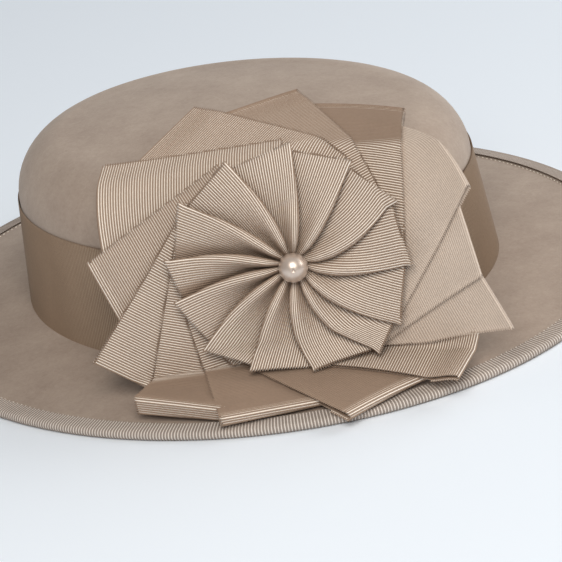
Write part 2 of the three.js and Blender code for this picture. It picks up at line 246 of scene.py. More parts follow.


# Binding: grosgrain folded over the brim's edge, its ribs running round the edge from top to underside.
# The ribs are raised on the woven ribbon, brown on their crests; the cream in the grooves between is
# painted sheen, standing for the highlights on the ribs.
RIB_PLACES = (0, 0.06, 0.31, 0.56, 0.62)      # a rib's rows of points; the groove is the rest
CREST_SHARE = 0.62
RIB_SQUARENESS = 0.35
CROWDED_RIB = 0.3                             # least share of its height that a crowded rib keeps
PRESSED_LOSS = 0.7                            # share of its height that a pressed rib loses
RIBBON_CREASE = math.radians(78)
CREST_EDGE = 0.14                             # share of a rib's height at which the crest's colour starts
RIB_PITCH = 1 * MM                            # of the band and the cockade
BINDING_PITCH = 1.25 * MM
BINDING_WIDTH = 7 * MM
BINDING_ROUND = 1.8 * MM                      # radius of the rounded edge
BINDING_RIB = 0.3 * MM
BINDING_BACKING = 0.36 * MM                   # thickness of the ribbon between its ribs
BINDING_PICOT = 0.35 * MM
BINDING_CREST = (0.300, 0.250, 0.215, 1)
# groove colour: painted sheen of the ribs; the crest colour is the ribbon's own
BINDING_GROOVE_SHEEN = (0.760, 0.690, 0.630, 1)


def new_tree(name, kinds):
    """A tree that takes and gives geometry, and where a modifier finds its named inputs."""
    tree = bpy.data.node_groups.new(name, "GeometryNodeTree")
    new_socket = tree.interface.new_socket
    new_socket("Geometry", in_out="INPUT", socket_type="NodeSocketGeometry")
    inputs = {}
    for label, kind in kinds.items():
        inputs[label] = new_socket(label, in_out="INPUT", socket_type=kind).identifier
    new_socket("Geometry", in_out="OUTPUT", socket_type="NodeSocketGeometry")
    return tree, inputs


def rib_tree():
    """Raises ribs on a ribbon whose points count the ribs along it, and lets them end in small picots."""
    tree, inputs = new_tree("grosgrain ribs", {
        "Rib height": "NodeSocketFloat",
        "Crest share": "NodeSocketFloat",
        "Picot": "NodeSocketFloat",
        "Ribbon": "NodeSocketMaterial",
    })
    nodes, link = tree.nodes, tree.links.new
    given = nodes.new("NodeGroupInput")
    made = nodes.new("NodeGroupOutput")

    def named(name, kind):
        node = nodes.new("GeometryNodeInputNamedAttribute")
        node.data_type = kind
        node.inputs["Name"].default_value = name
        return node.outputs["Attribute"]

    def maths(operation, first, second=None):
        node = nodes.new("ShaderNodeMath")
        node.operation = operation
        for socket, value in zip(node.inputs, (first, second)):
            if isinstance(value, bpy.types.NodeSocket):
                link(value, socket)
            elif value is not None:
                socket.default_value = value
        return node.outputs[0]

    def scaled(vector, amount):
        node = nodes.new("ShaderNodeVectorMath")
        node.operation = "SCALE"
        link(vector, node.inputs[0])
        link(amount, node.inputs["Scale"])
        return node.outputs[0]

    place = maths("FRACT", named("ribs", "FLOAT"))
    across_crest = maths("MINIMUM", maths("DIVIDE", place, given.outputs["Crest share"]), 1.0)
    arch = maths("MAXIMUM", maths("SINE", maths("MULTIPLY", across_crest, math.pi)), 0.0)
    rise = maths("POWER", arch, RIB_SQUARENESS)
    raised = scaled(named("face", "FLOAT_VECTOR"), maths("MULTIPLY", rise, given.outputs["Rib height"]))
    bead = maths("SINE", maths("MULTIPLY", place, math.pi))
    looped = scaled(named("selvedge", "FLOAT_VECTOR"), maths("MULTIPLY", bead, given.outputs["Picot"]))
    both = nodes.new("ShaderNodeVectorMath")
    both.operation = "ADD"
    link(raised, both.inputs[0])
    link(looped, both.inputs[1])
    shift = nodes.new("GeometryNodeSetPosition")
    link(given.outputs["Geometry"], shift.inputs["Geometry"])
    link(both.outputs[0], shift.inputs["Offset"])
    keep = nodes.new("GeometryNodeStoreNamedAttribute")
    keep.data_type = "FLOAT"
    keep.domain = "POINT"
    keep.inputs["Name"].default_value = "rib"
    link(shift.outputs["Geometry"], keep.inputs["Geometry"])
    # where pressed, the rib takes the crest colour: the groove's painted sheen is left out
    sheen_left_out = maths("MULTIPLY", named("pressed_no_sheen", "FLOAT"), CREST_EDGE)
    link(maths("MAXIMUM", rise, sheen_left_out), keep.inputs["Value"])
    real = nodes.new("GeometryNodeRealizeInstances")
    link(keep.outputs["Geometry"], real.inputs["Geometry"])
    paint = nodes.new("GeometryNodeSetMaterial")
    link(real.outputs["Geometry"], paint.inputs["Geometry"])
    link(given.outputs["Ribbon"], paint.inputs["Material"])
    link(paint.outputs["Geometry"], made.inputs["Geometry"])
    return tree, inputs


RIB_TREE, RIB_INPUTS = rib_tree()


def made_plain(piece, tree, values):
    """Runs the tree on the piece once and keeps the result as its mesh."""
    modifier = piece.modifiers.new("made", "NODES")
    modifier.node_group = tree
    for socket, value in values.items():
        modifier[socket] = value
    seen = piece.evaluated_get(bpy.context.evaluated_depsgraph_get())
    mesh = bpy.data.meshes.new_from_object(seen)
    piece.modifiers.remove(modifier)
    sketch = piece.data
    piece.data = mesh
    bpy.data.meshes.remove(sketch)
    mesh.name = piece.name
    return mesh


def set_on_points(piece, name, *parts):
    """Keeps a value or a vector for each point of the piece, given part by part."""
    kind, field = ("FLOAT_VECTOR", "vector") if parts[0].ndim == 3 else ("FLOAT", "value")
    values = np.concatenate([part.ravel() for part in parts]).astype(np.float32)
    piece.data.attributes.new(name, kind, "POINT").data.foreach_set(field, values)


def rib_rows(count, plain_from=None, plain_step=6):
    """Counts of ribs at the rows of points: five to a rib, and past plain_from only one in a few ribs."""
    ribbed = count if plain_from is None else plain_from
    rows = [k + place for k in range(ribbed) for place in RIB_PLACES]
    return np.array(rows + list(range(ribbed, count, plain_step)) + [count], float)


def ribbon(name, outer, ribs, thickness, material, rib_height, picot,
           pressed_no_sheen=0, ring=False, turned=False):
    """A ribbon with real thickness. outer holds its outer face, row by row along the ribbon.

    ribs says where each row falls, counted in ribs, and the pressed value how far the ribs are pressed
    flat and the painted sheen of their grooves left out. A ring closes on itself, and turned is for rows
    and columns the other way round.
    """
    rows, columns = outer.shape[:2]
    side = -1 if turned else 1
    if ring:
        padded_points = np.concatenate([outer[-1:], outer, outer[:1]])
        along = padded_points[2:] - padded_points[:-2]
    else:
        along = np.gradient(outer, axis=0)
    across = np.gradient(outer, axis=1)
    face = side * np.cross(along, across)
    face /= np.linalg.norm(face, axis=-1, keepdims=True)
    spread = np.linalg.norm(np.gradient(outer, ribs, axis=0), axis=-1, keepdims=True)
    flat_no_sheen = np.broadcast_to(pressed_no_sheen, outer.shape[:2])
    raised = face * np.clip(spread / RIB_PITCH, CROWDED_RIB, 1) * (1 - PRESSED_LOSS * flat_no_sheen[..., None])
    selvedge = np.zeros_like(outer)
    for column, way in ((0, -1), (-1, 1)):
        edge = across[:, column]
        selvedge[:, column] = way * edge / np.linalg.norm(edge, axis=-1, keepdims=True)
    whole = np.flatnonzero(ribs == np.round(ribs))
    inner = (outer - face * thickness)[whole]
    first_inner = rows * columns

    faces = []
    row_pairs = [(i, i + 1) for i in range(rows - 1)] + ([(rows - 1, 0)] if ring else [])
    for i, n in row_pairs:
        for j in range(columns - 1):
            quad = (i * columns + j, n * columns + j, n * columns + j + 1, i * columns + j + 1)
            faces.append(quad[::side])
    steps = [(k, k + 1) for k in range(len(whole) - 1)] + ([(len(whole) - 1, 0)] if ring else [])
    for k, n in steps:
        a, b = first_inner + k * columns, first_inner + n * columns
        for j in range(columns - 1):
            faces.append((a + j + 1, b + j + 1, b + j, a + j)[::side])
        between = range(whole[k], whole[n] + 1) if n else [*range(whole[k], rows), 0]
        for j, way in ((0, -side), (columns - 1, side)):
            edge = [i * columns + j for i in between] + [b + j, a + j]
            faces.append(tuple(edge[::way]))
    if not ring:
        last = first_inner + (len(whole) - 1) * columns
        end = (rows - 1) * columns
        for j in range(columns - 1):
            faces.append((j, j + 1, first_inner + j + 1, first_inner + j)[::side])
            faces.append((end + j + 1, end + j, last + j, last + j + 1)[::side])

    points = np.concatenate([outer.reshape(-1, 3), inner.reshape(-1, 3)])
    piece = add_piece(name, points, faces, material)
    under_ribs = np.broadcast_to(ribs[whole, None] + CREST_SHARE / 2, inner.shape[:2])
    set_on_points(piece, "ribs", np.broadcast_to(ribs[:, None], outer.shape[:2]), under_ribs)
    set_on_points(piece, "pressed_no_sheen", flat_no_sheen, np.zeros(inner.shape[:2]))
    set_on_points(piece, "face", raised, np.zeros_like(inner))
    set_on_points(piece, "selvedge", selvedge, np.zeros_like(inner))
    mesh = made_plain(piece, RIB_TREE, {
        RIB_INPUTS["Rib height"]: rib_height,
        RIB_INPUTS["Crest share"]: CREST_SHARE,
        RIB_INPUTS["Picot"]: picot,
        RIB_INPUTS["Ribbon"]: material,
    })
    for spent in ("ribs", "pressed_no_sheen", "face", "selvedge"):
        mesh.attributes.remove(mesh.attributes[spent])
    mesh.set_sharp_from_angle(angle=RIBBON_CREASE)
    return piece


def grosgrain(name, crest, groove_sheen, mottle=0.08):
    """Corded ribbon: its own colour on the crests and painted sheen in the grooves, set by the woven rib,
    with fine yarns and a silky sheen.
    """
    cloth, tree, shader = new_material(name, {
        "Roughness": 0.7,
        "Specular IOR Level": 0.2,
        "Sheen Weight": 0.04,
        "Sheen Roughness": 0.5,
    })
    link = tree.links.new
    rib = tree.nodes.new("ShaderNodeAttribute")
    rib.attribute_name = "rib"
    # the groove colour is painted sheen, the crest colour the ribbon's own
    colours = add_ramp(tree, groove_sheen, crest, 0.02, CREST_EDGE)
    yarns = add_noise(tree, {"Scale": 900, "Detail": 4})
    shades = add_noise(tree, {"Scale": 60, "Detail": 3})
    mixed = add_node(tree, "ShaderNodeMix", {"Factor": 0.5})
    lightness = add_node(tree, "ShaderNodeMapRange", {
        "From Min": 0.3, "From Max": 0.7, "To Min": 1 - mottle, "To Max": 1 + mottle})
    varied = tree.nodes.new("ShaderNodeHueSaturation")
    weave = add_node(tree, "ShaderNodeBump", {"Strength": 0.3, "Distance": 0.08 * MM})
    link(rib.outputs["Fac"], colours.inputs["Fac"])
    link(yarns.outputs["Fac"], mixed.inputs["A"])
    link(shades.outputs["Fac"], mixed.inputs["B"])
    link(mixed.outputs["Result"], lightness.inputs["Value"])
    link(lightness.outputs["Result"], varied.inputs["Value"])
    link(colours.outputs["Color"], varied.inputs["Color"])
    link(varied.outputs["Color"], shader.inputs["Base Color"])
    link(yarns.outputs["Fac"], weave.inputs["Height"])
    link(weave.outputs["Normal"], shader.inputs["Normal"])
    return cloth


def even_angles(counts, offset, total):
    """Angles on the oval at counts out of total steps of equal length round it."""
    fine = np.linspace(0, 2 * math.pi, 4001)
    line = on_oval(fine, offset, 0)
    walked = np.concatenate([[0], np.cumsum(np.linalg.norm(np.diff(line, axis=0), axis=1))])
    return np.interp(np.asarray(counts) / total * walked[-1], walked, fine), walked[-1]


def binding_section():
    """Outer face of the ribbon from its upper selvedge over the rounded edge to the lower one."""
    proud = CLEARANCE + BINDING_RIBBON
    centre = BRIM_WIDTH_X - BINDING_ROUND
    start = BRIM_WIDTH_X - BINDING_WIDTH
    top_end, under_start = centre - 0.6 * MM, centre - 1.2 * MM      # short of the rounded edge
    top = [(o, brim_top(o) + proud) for o in np.linspace(start, top_end, 5)]
    upright = BINDING_ROUND - BINDING_RIB / 2
    edge, under = [], []
    for a in np.linspace(math.pi / 2, -math.pi / 2, 11):
        edge.append((centre + BINDING_ROUND * math.cos(a), BINDING_RIB + upright * (1 + math.sin(a))))
    for o in np.linspace(under_start, start, 4):
        rise = brim_top(o) - FELT - proud - BINDING_RIB
        under.append((o, BINDING_RIB + rise * (centre - o) / (centre - start)))
    return np.array(top + edge + under)


_, edge_length = even_angles([0], BRIM_WIDTH_X, 1)
binding_ribs = round(edge_length / BINDING_PITCH)
rows = rib_rows(binding_ribs)[:-1]
angles, _ = even_angles(rows, BRIM_WIDTH_X, binding_ribs)
profile = binding_section()
binding_face = on_oval(angles[:, None], profile[None, :, 0], profile[None, :, 1])
binding_cloth = grosgrain("binding grosgrain", BINDING_CREST, BINDING_GROOVE_SHEEN)
binding = ribbon("edge_binding", binding_face, rows, BINDING_BACKING, binding_cloth,
                 BINDING_RIB, BINDING_PICOT, ring=True, turned=True)
sew_on(binding, "binding_ribbon", "brim_binding")


# Band: one turn of brown grosgrain round the foot of the crown, its ribs upright.
# It follows the lean of the wall, and its selvedges end in small picots.
BAND_WIDTH = 42.8 * MM
BAND_BACKING = 0.25 * MM                      # thickness of the ribbon between its ribs
RIB_HEIGHT = 0.4 * MM
PICOT = 1.1 * MM
BAND_CREST = (0.265, 0.188, 0.130, 1)
# groove colour: painted sheen of the ribs; the crest colour is the ribbon's own
BAND_GROOVE_SHEEN = (0.520, 0.420, 0.320, 1)

_, band_length = even_angles([0], 0, 1)
band_ribs = round(band_length / RIB_PITCH)
rows = rib_rows(band_ribs)[:-1]
angles, _ = even_angles(rows, 0, band_ribs)
heights = NECK_Z + CLEARANCE + np.linspace(0, BAND_WIDTH, 12)
band_face = on_oval(angles[:, None], wall_offset(heights)[None, :] - RIB_HEIGHT, heights[None, :])
band_cloth = grosgrain("band grosgrain", BAND_CREST, BAND_GROOVE_SHEEN)
band = ribbon("ribbon_band", band_face, rows, BAND_BACKING, band_cloth, RIB_HEIGHT, PICOT, ring=True)
sew_on(band, "band_ribbon", "hat_band")


# Cockade, lower layer: thirteen flattened loops of grosgrain set like a pinwheel, each over the next.
# They lie on one bent surface, back over the crown's shoulder above and out over the brim below.
COCKADE_FACING = math.radians(32.5)
COCKADE_Z = 47.3 * MM
COCKADE_STAND_OFF = 6.6 * MM
FRONT_BEND_RADIUS = 111 * MM
# The lean of the surface in degrees, and its bends above and below. A bend is its start along the
# surface and its radius in millimetres, and its turn in degrees.
LOOPS_SURFACE = {"lean": 12, "upper": ((4.6, 53, 36), (38.5, 9, 30)), "lower": ((34.5, 4.5, 72),)}
RIBBON_WIDTH = 43 * MM
LOOP_OFFSET = 44.5 * MM
LOOP_STEP = 1.7 * MM
LOOP_ROOT = (13 * MM, 2 * MM)             # where it starts, at its inner and its outer selvedge
LOOP_LAYERS = 1.1 * MM                    # depth of the two layers near the root
ROOT_CLOSENESS = 0.03                     # the ribs crowd to this at the root, under the rosette
LIFT_RUN = 15 * MM                        # length of the loop's end that its lift bends
FOLD_CORNER = 1.2 * MM                    # the most that the fold's corners are rounded
RIBBED_RETURN = 12 * MM                   # the ribs go on this far past the fold
OVER_BRIM = 0.5 * MM                      # of a loop that lies on the brim
LOOP_COLUMNS = 23
SINGLE_RIBBON = 0.4 * MM
COCKADE_CREST = (0.310, 0.220, 0.160, 1)
# groove colour: painted sheen of the ribs; the crest colour is the ribbon's own
COCKADE_GROOVE_SHEEN = (0.960, 0.870, 0.770, 1)
SMOOTH_LIT_LOOPS = ("loop_04", "loop_05", "loop_06")      # on the right, whose ribs show only faintly and whose cloth is painted lighter, as painted light
# Painted light: a lighter copy of the cockade's colours for these loops, with painted sheen in its
# grooves
SMOOTH_LIT_CREST = (0.500, 0.400, 0.325, 1)
SMOOTH_LIT_GROOVE_SHEEN = (0.680, 0.580, 0.490, 1)
SMOOTH_RIB = 0.35                         # height of their ribs, against the others'
BENDS_MIDDLE = 2 * MM                     # up the surface, midway between its outer bends
# Where the ribs are pressed, the painted sheen of their grooves is left out, so only the crest brown
# shows.
PRESSED_NO_SHEEN_FROM = 36.5 * MM                  # from there up and down, where the pressed ribs start
PRESSED_NO_SHEEN_RUN = 5 * MM                      # and are fully pressed this much further
PRESSED_NO_SHEEN_EDGE = 1 * MM                     # they end this far before the fold, over twice this

# turn in degrees, the way each loop points. Pairs are for the inner and the outer selvedge: reach of
# the fold, depth of the open fold and lift, which raises the fold. bulge rounds the fold's line.
# All lengths in millimetres. The pressed pairs say how far the ribs are flattened before and past the
# bends, and the painted sheen of their grooves left out there.
LOOPS = (
    {"name": "loop_01", "turn": 139, "reach": (76.5, 77.5), "bulge": 0,
     "depth": (1.6, 1.6), "lift": (-1.2, -1.2)},
    {"name": "loop_02", "turn": 114, "reach": (82, 73), "bulge": 0,
     "depth": (1.6, 1.6), "lift": (-1.2, -1.2), "pressed_no_sheen": (0, 0.65)},
    {"name": "loop_03", "turn": 83.5, "reach": (79, 73), "bulge": 0,
     "depth": (1.6, 1.6), "lift": (-2, -2), "pressed_no_sheen": (0, 1)},
    {"name": "loop_04", "turn": 53, "reach": (72, 66.5), "bulge": 5,
     "depth": (3, 3), "lift": (0.6, 0.6)},
    {"name": "loop_05", "turn": 31, "reach": (75, 60), "bulge": 0,
     "depth": (1.6, 1.6), "lift": (0, 0)},
    {"name": "loop_06", "turn": 13, "reach": (62, 76), "bulge": 0,
     "depth": (1.6, 1.6), "lift": (0, 0)},
    {"name": "loop_07", "turn": -18, "reach": (74.5, 73), "bulge": 0,
     "depth": (1.6, 1.6), "lift": (1, 4)},
    {"name": "loop_08", "turn": -49.5, "reach": (71, 70), "bulge": 0,
     "depth": (1.8, 3.2), "lift": (0, 0.4), "pressed_no_sheen": (0, 1)},
    {"name": "loop_09", "turn": -82.5, "reach": (68.5, 67.5), "bulge": 0,
     "depth": (2.4, 3.8), "lift": (0.4, 1), "pressed_no_sheen": (0, 1)},
    {"name": "loop_10", "turn": -110, "reach": (74.5, 73), "bulge": 0,
     "depth": (5.2, 7), "lift": (2, 3.2), "pressed_no_sheen": (0, 1)},
    {"name": "loop_11", "turn": -131, "reach": (69, 72.2), "bulge": 0,
     "depth": (1.8, 1.8), "lift": (0, 0), "pressed_no_sheen": (0.1, 0.1)},
    {"name": "loop_12", "turn": -154, "reach": (69.3, 63.2), "bulge": 0,
     "depth": (1.6, 1.6), "lift": (-1, -1), "pressed_no_sheen": (0.45, 0.45)},
    {"name": "loop_13", "turn": -187.5, "reach": (71, 72.3), "bulge": 1.6,
     "depth": (1.8, 1.8), "lift": (0, 0), "pressed_no_sheen": (0.25, 0.25)},
)

ALONG = np.array([math.cos(COCKADE_FACING), math.sin(COCKADE_FACING), 0])
OUT = np.array([math.sin(COCKADE_FACING), -math.cos(COCKADE_FACING), 0])
UP = np.array([0, 0, 1.0])


def cockade_centre():
    radii = np.array([FRONT_BACK_RADIUS, SIDE_RADIUS, 0])
    on_wall = radii ** 2 * OUT / np.linalg.norm(radii * OUT)
    return on_wall + OUT * (COCKADE_STAND_OFF + wall_offset(COCKADE_Z)) + UP * COCKADE_Z


CENTRE = cockade_centre()


def bent_line(length, lean, bends):
    """A line that leaves at a lean and turns in arcs with straight runs between."""
    angle = np.full_like(length, lean)
    forward, aside = np.zeros_like(length), np.zeros_like(length)
    place, heading = 0, lean
    for start, radius, turn in bends:
        start, radius, turn = start * MM, radius * MM, math.radians(turn)
        run = np.clip(length - place, 0, start - place)
        arc = np.clip((length - start) / radius, 0, turn)
        forward = forward + run * math.cos(heading) + radius * (np.sin(heading + arc) - math.sin(heading))
        aside = aside + run * math.sin(heading) + radius * (math.cos(heading) - np.cos(heading + arc))
        angle = angle + arc
        place, heading = start + radius * turn, heading + turn
    run = np.maximum(length - place, 0)
    return angle, forward + run * math.cos(heading), aside + run * math.sin(heading)


def on_surface(surface, s, t, height):
    """Points at s along and t up one of the cockade's two surfaces, and at a height over it."""
    lean = math.radians(surface["lean"])
    upper = bent_line(np.maximum(t, 0), lean, surface["upper"])
    lower = bent_line(np.maximum(-t, 0), lean, surface["lower"])
    angle, forward, aside = (np.where(t >= 0, a, b) for a, b in zip(upper, lower))
    sign = np.where(t >= 0, 1, -1)
    swing = np.maximum(s, 0) / FRONT_BEND_RADIUS
    run = np.where(s > 0, FRONT_BEND_RADIUS * np.sin(swing), s)
    stand = FRONT_BEND_RADIUS * (1 - np.cos(swing))
    place = CENTRE + run[..., None] * ALONG + (sign * forward)[..., None] * UP
    place = place + (stand - sign * aside)[..., None] * OUT
    across = np.cos(swing)[..., None] * ALONG + np.sin(swing)[..., None] * OUT
    rise = np.cos(angle)[..., None] * UP - np.sin(angle)[..., None] * OUT
    normal = np.cross(across, rise)
    normal /= np.linalg.norm(normal, axis=-1, keepdims=True)
    return place + normal * height[..., None]


def above_brim(points, clear):
    """Lifts points that would sink into the brim, so that the ribbon lies on it."""
    offset = np.zeros(points.shape[:-1])
    for _ in range(6):
        x = points[..., 0] / (FRONT_BACK_RADIUS + offset)
        y = points[..., 1] / (SIDE_RADIUS + offset * BRIM_WIDTH_Y / BRIM_WIDTH_X)
        offset = offset + (np.hypot(x, y) - 1) * (SIDE_RADIUS + offset)
    lowest = np.where(offset > 0, brim_top(offset) + clear, -1)
    points[..., 2] = np.maximum(points[..., 2], lowest)
    return points


LOOP_TURNS = np.array([loop["turn"] - lap * 360 for lap in (-1, 0, 1, 2) for loop in LOOPS])
LOOP_COUNTS = np.arange(len(LOOP_TURNS)) - len(LOOPS)


def loops_passed(bearing):
    """How many loops a direction in degrees lies clockwise of the first, as a real number."""
    return np.interp(-bearing, -LOOP_TURNS, LOOP_COUNTS)


def smooth_step(value):
    share = np.clip(value, 0, 1)
    return share * share * (3 - 2 * share)


def blend(pair, share):
    first, second = pair
    return first + (second - first) * share


def loop_face(index, loop):
    """Outer face of a loop: out along its top, round the fold and back underneath."""
    share = np.linspace(0, 1, LOOP_COLUMNS)
    x = LOOP_OFFSET - RIBBON_WIDTH * (1 - share)
    root = blend(LOOP_ROOT, share)
    reach = blend(loop["reach"], share) * MM + loop["bulge"] * MM * np.sin(math.pi * share)
    depth = blend(loop["depth"], share) * MM
    lift = blend(loop["lift"], share) * MM
    corner = np.minimum(depth / 2, FOLD_CORNER)
    top = reach - corner - root.min()
    wall = depth - 2 * corner
    bend = math.pi / 2 * corner
    total = 2 * top + 2 * bend + wall
    visible = math.ceil((reach.max() - root.min() + RIBBED_RETURN) / RIB_PITCH)
    ribs = rib_rows(math.floor(total.min() / RIB_PITCH), plain_from=visible)
    walked = (ribs * RIB_PITCH)[:, None]
    q = np.where(walked < top.mean(), walked * top / top.mean(), walked - top.mean() + top)
    turned = np.clip((q - top) / corner, 0, math.pi / 2)
    straight = np.clip(q - top - bend, 0, wall)
    turned = turned + np.clip((q - top - bend - wall) / corner, 0, math.pi / 2)
    back = np.maximum(q - top - 2 * bend - wall, 0)
    y = root.min() + np.minimum(q, top) + corner * np.sin(turned) - back
    below = corner * (1 - np.cos(turned)) + straight
    progress = np.clip((y - root) / (reach - root), 0, 1)
    layers = LOOP_LAYERS + (depth - LOOP_LAYERS) * progress ** 2
    below = np.where(back > 0, layers, below)
    y = np.where(y < root, root - (root - y) * ROOT_CLOSENESS, y)
    direction = math.radians(loop["turn"])
    s = x * math.sin(direction) + y * math.cos(direction)
    t = -x * math.cos(direction) + y * math.sin(direction)
    bearing = loop["turn"] - np.degrees(np.arctan2(x, y))
    step = LOOP_STEP * (loops_passed(bearing) - index)
    height = step + lift * smooth_step(1 - (reach - y) / LIFT_RUN)
    face = on_surface(LOOPS_SURFACE, s, t, height - below - RIB_HEIGHT)
    past_bend = smooth_step((np.abs(t - BENDS_MIDDLE) - PRESSED_NO_SHEEN_FROM) / PRESSED_NO_SHEEN_RUN)
    on_top = smooth_step((top + root.min() - PRESSED_NO_SHEEN_EDGE - y) / (2 * PRESSED_NO_SHEEN_EDGE)) * (q < top)
    return above_brim(face, OVER_BRIM), ribs, blend(loop.get("pressed_no_sheen", (0, 0)), past_bend) * on_top


cockade_cloth = grosgrain("cockade grosgrain", COCKADE_CREST, COCKADE_GROOVE_SHEEN)
smooth_lit_cloth = grosgrain("smoothed lit cockade grosgrain", SMOOTH_LIT_CREST, SMOOTH_LIT_GROOVE_SHEEN)
for index, loop in enumerate(LOOPS):
    face, ribs, pressed_no_sheen = loop_face(index, loop)
    cloth, rib_height = cockade_cloth, RIB_HEIGHT
    # the loops on the right take the lighter copy: painted light
    if loop["name"] in SMOOTH_LIT_LOOPS:
        cloth, rib_height = smooth_lit_cloth, RIB_HEIGHT * SMOOTH_RIB
    piece = ribbon("ribbon_" + loop["name"], face, ribs, SINGLE_RIBBON, cloth, rib_height, PICOT,
                   pressed_no_sheen=pressed_no_sheen, turned=True)
    sew_on(piece, "cockade_ribbon", loop["name"])


# Cockade, upper layer: thirteen knife pleats of grosgrain, gathered on a stem sewn to the band.
# Each pleat rises to a rounded fold at its clockwise side and dives under the fold of the one before.
ROSETTE_SURFACE = {"lean": 13, "upper": ((46, 53, 1),), "lower": ((26, 30, 60),)}
ROSETTE_RADIUS = 46 * MM
ROSETTE_HEIGHT = 7.7 * MM                 # of the sunk side of the pleats over the surface
GATHER_RADIUS = 4.5 * MM
EDGE_STEP = 0.93                          # the edge's radius at the sunk side, against that at the fold
ROLL_RIBS = 8                             # round the fold and on the short layer under it
RADIAL_STEPS = 30
TUBE_WIDTH = 0.42                         # of a tubular fold, against the room to the next
STEM_RADIUS = 10.5 * MM
STEM_WAVE = 0.04                          # of its radius, one gather for each pleat
STEM_TOP = ROSETTE_HEIGHT - 1.8 * MM      # just under the sunk side of the pleats
STEM_SEARCH = 40 * MM                     # how far in the band is looked for, by halving
STEM_HALVINGS = 24
STEM_AROUND = 52
STEM_CREASE = math.radians(60)
PLEAT_FULLNESS = 1.25                     # ribs of a pleat at the selvedge, against its room there
BOW_SHAPE = 1.15                          # over 1 the bow of a fold's line lies nearer the selvedge
PACKED_FROM = 0.85                        # of the way to the fold before: ribs pack past it
PACKED_ROOM = 0.35
PACKED_SLOPE = 0.01                       # keeps packed ribs apart
SUNK_FROM = 0.5                           # of that way: the sunk part starts there
SUNK_RUN = 0.3
SUNK_RADIUS = 10 * MM                     # nearer the gathers no ribs are pressed
SUNK_RADIUS_RUN = 8 * MM

# Down the table from the gathers to the selvedge: radius and heights in millimetres
PLEAT_SHAPE = {
    "radius": (4.5, 10, 17, 27, 37, 46),
    "rise": (1.4, 5.2, 6.0, 4.4, 2.6, 1.6),       # of the fold over the sunk side
    "dive": (0.4, 1.2, 1.3, 1.3, 1.1, 0.8),       # of the hidden side under the neighbour
    "fold": (0.5, 1.5, 1.9, 1.4, 0.75, 0.36),     # radius of the rounded fold
    "fan": (0.5, 0.62, 0.75, 0.88, 0.96, 1.0),    # closeness of the ribs
    "flat": (0, 0, 0.15, 0.55, 0.9, 1),           # 0 for a tubular fold, 1 for a flat pleat
}

# Clockwise round the rosette: turn of each fold in degrees, its reach and height against the others,
# bow of its line clockwise in millimetres, how late the pleat falls from it to the fold before, and
# how far the ribs are pressed flat in its sunk part, which also leaves out their grooves' painted sheen
# there as painted shade
FOLDS = (
    {"turn": 113, "reach": 1, "height": 1, "bow": 2.2, "fall": 1.5},
    {"turn": 81, "reach": 1, "height": 1, "bow": 1.4, "fall": 1.6},
    {"turn": 50, "reach": 1.03, "height": 1, "bow": 1.6, "fall": 1.5},
    {"turn": 24, "reach": 1.11, "height": 0.9, "bow": 4.4, "fall": 1.5},
    {"turn": -4, "reach": 1.05, "height": 0.9, "bow": 3, "fall": 1.6},
    {"turn": -34, "reach": 1.02, "height": 1, "bow": 3.8, "fall": 1.6},
    {"turn": -56, "reach": 1.08, "height": 1.1, "bow": 4.4, "fall": 1.7},
    {"turn": -89, "reach": 1.02, "height": 1.1, "bow": 3.2, "fall": 1.7},
    {"turn": -119, "reach": 1.01, "height": 1, "bow": 2.2, "fall": 1.6},
    {"turn": -146, "reach": 1, "height": 1, "bow": 2.6, "fall": 1.6},
    {"turn": -172, "reach": 1, "height": 1.1, "bow": 1.8, "fall": 1.8},
    {"turn": -192, "reach": 1.03, "height": 1.35, "bow": 2.6, "fall": 2.4, "pressed_no_sheen": 1},
    {"turn": -219, "reach": 1.05, "height": 1.2, "bow": 1.8, "fall": 2.2, "pressed_no_sheen": 0.8},
)


def shape_at(radius, column):
    return np.interp(radius, np.array(PLEAT_SHAPE["radius"]) * MM, PLEAT_SHAPE[column])


def bow_at(fold, radius):
    return fold["bow"] * MM * np.sin(math.pi * np.clip(radius / ROSETTE_RADIUS, 0, 1) ** BOW_SHAPE)


